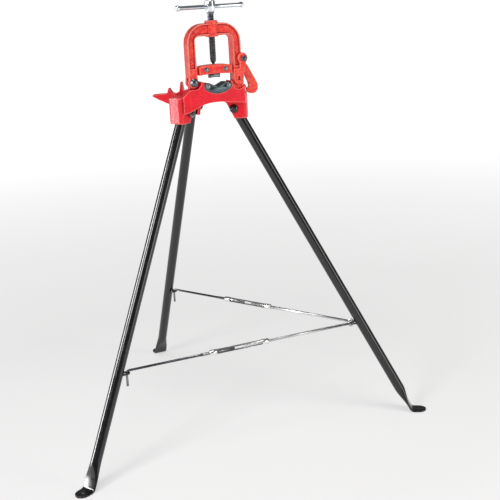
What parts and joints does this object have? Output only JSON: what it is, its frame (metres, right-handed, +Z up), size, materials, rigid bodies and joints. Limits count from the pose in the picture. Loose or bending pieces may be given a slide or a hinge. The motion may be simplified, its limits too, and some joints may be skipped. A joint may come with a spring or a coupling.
{
  "type": "pipe vise stand",
  "caption": "Yoke pipe vise on a folding tripod stand, with a hinged yoke, latch hook, screw-driven jaw, pipe legs, two stays with turnbuckles and a bender beak.",
  "frame": {"origin": "on the ground under the middle of the stand's outline", "axes": "+Z up, X along the width of the yoke with the latch at +X, Y along a clamped pipe with the front at -Y"},
  "size_m": [0.9964, 0.8682, 1.1309],
  "materials": {
    "red_paint": "glossy cast, enamelled red",
    "black_paint": "gloss black enamel",
    "jaw_steel": "hardened, dark grey",
    "chrome": "bright plated",
    "zinc": "bright zinc plated",
    "plain_steel": "dark steel"
  },
  "bodies": {
    "base": {"base_casting": "red_paint", "lower_jaw": "jaw_steel", "lower_jaw_bolt_left": "jaw_steel", "lower_jaw_bolt_right": "jaw_steel", "yoke_pivot_bolt": "plain_steel", "yoke_pivot_nut": "plain_steel", "left_leg_bolt": "black_paint", "left_leg_nut": "plain_steel", "rear_leg_bolt": "black_paint", "rear_leg_nut": "plain_steel", "right_leg_bolt": "black_paint", "right_leg_nut": "plain_steel"},
    "yoke": {"yoke": "red_paint", "latch_bolt": "plain_steel", "latch_nut": "plain_steel"},
    "latch": {"latch_hook": "red_paint"},
    "jaw": {"crosshead": "red_paint", "crosshead_pin_left": "jaw_steel", "crosshead_pin_right": "jaw_steel", "upper_jaw": "jaw_steel"},
    "screw": {"spindle": "jaw_steel", "spindle_hub": "chrome"},
    "bar": {"tommy_bar": "chrome"},
    "right_leg": {"right_leg": "black_paint", "right_leg_ring": "black_paint"},
    "left_leg": {"left_leg": "black_paint", "left_leg_eye": "black_paint"},
    "rear_leg": {"rear_leg": "black_paint", "rear_leg_eye": "black_paint"},
    "front_stay": {"front_eye_rod": "zinc"},
    "front_tensioner": {"front_turnbuckle": "zinc"},
    "front_hook": {"front_hook_rod": "black_paint"},
    "rear_stay": {"rear_eye_rod": "zinc"},
    "rear_tensioner": {"rear_turnbuckle": "zinc"},
    "rear_hook": {"rear_hook_rod": "black_paint"}
  },
  "joints": [
    {"name": "right_leg_fold", "type": "hinge", "parent": "base", "child": "right_leg", "pos_m": [0.07171, -0.17957, 0.857], "axis": [0.5, 0.866, 0], "range_deg": [0, 27.8]},
    {"name": "left_leg_fold", "type": "hinge", "parent": "base", "child": "left_leg", "pos_m": [-0.07171, -0.17957, 0.857], "axis": [0.5, -0.866, 0], "range_deg": [0, 27.8]},
    {"name": "rear_leg_fold", "type": "hinge", "parent": "base", "child": "rear_leg", "pos_m": [0, -0.05537, 0.857], "axis": [-1, 0, 0], "range_deg": [0, 27.8]},
    {"name": "front_stay_lift", "type": "hinge", "parent": "right_leg", "child": "front_stay", "pos_m": [0.3178, -0.32941, 0.26], "axis": [-0.0139, 0.9847, 0.1736], "range_deg": [0, 55.8]},
    {"name": "rear_stay_lift", "type": "hinge", "parent": "right_leg", "child": "rear_stay", "pos_m": [0.32452, -0.31777, 0.26], "axis": [0.8597, 0.4803, -0.1737], "range_deg": [0, 55.8]},
    {"name": "front_turnbuckle_turn", "type": "hinge", "parent": "front_stay", "child": "front_tensioner", "pos_m": [0.31732, -0.32954, 0.26], "axis": [-0.9999, -0.0141, 0], "range_deg": [-1.1, 490.7]},
    {"name": "front_hook_run", "type": "slide", "parent": "front_stay", "child": "front_hook", "axis": [-0.9999, -0.0141, 0], "range_m": [0, 0.0034]},
    {"name": "rear_turnbuckle_turn", "type": "hinge", "parent": "rear_stay", "child": "rear_tensioner", "pos_m": [0.32439, -0.31729, 0.26], "axis": [-0.4878, 0.873, 0], "range_deg": [-1.1, 490.7]},
    {"name": "rear_hook_run", "type": "slide", "parent": "rear_stay", "child": "rear_hook", "axis": [-0.4878, 0.873, 0], "range_m": [0, 0.0034]},
    {"name": "yoke_hinge", "type": "hinge", "parent": "base", "child": "yoke", "pos_m": [-0.0525, -0.20617, 0.9335], "axis": [0, -1, 0], "range_deg": [0, 90]},
    {"name": "latch_swing", "type": "hinge", "parent": "yoke", "child": "latch", "pos_m": [0.0848, -0.20617, 0.9845], "axis": [0, -1, 0], "range_deg": [-6, 60]},
    {"name": "jaw_travel", "type": "slide", "parent": "yoke", "child": "jaw", "axis": [0, 0, 1], "range_m": [-0.014, 0.06]},
    {"name": "screw_turn", "type": "hinge", "parent": "jaw", "child": "screw", "pos_m": [0.008, -0.20617, 1.103], "axis": [0, 0, 1], "range_deg": [-1260.5, 5400.5]},
    {"name": "tommy_bar_slide", "type": "slide", "parent": "screw", "child": "bar", "axis": [0.9613, 0.2756, 0], "range_m": [-0.08, 0.08]}
  ],
  "couplings": [
    {"joint": "left_leg_fold", "follows": "right_leg_fold", "ratio": 1},
    {"joint": "rear_leg_fold", "follows": "right_leg_fold", "ratio": 1},
    {"joint": "front_stay_lift", "follows": "right_leg_fold", "ratio": 2},
    {"joint": "rear_stay_lift", "follows": "right_leg_fold", "ratio": 2},
    {"joint": "screw_turn", "follows": "jaw_travel", "rad_per_m": 1570.8},
    {"joint": "front_turnbuckle_turn", "follows": "front_hook_run", "rad_per_m": 2513.3},
    {"joint": "rear_turnbuckle_turn", "follows": "rear_hook_run", "rad_per_m": 2513.3}
  ]
}
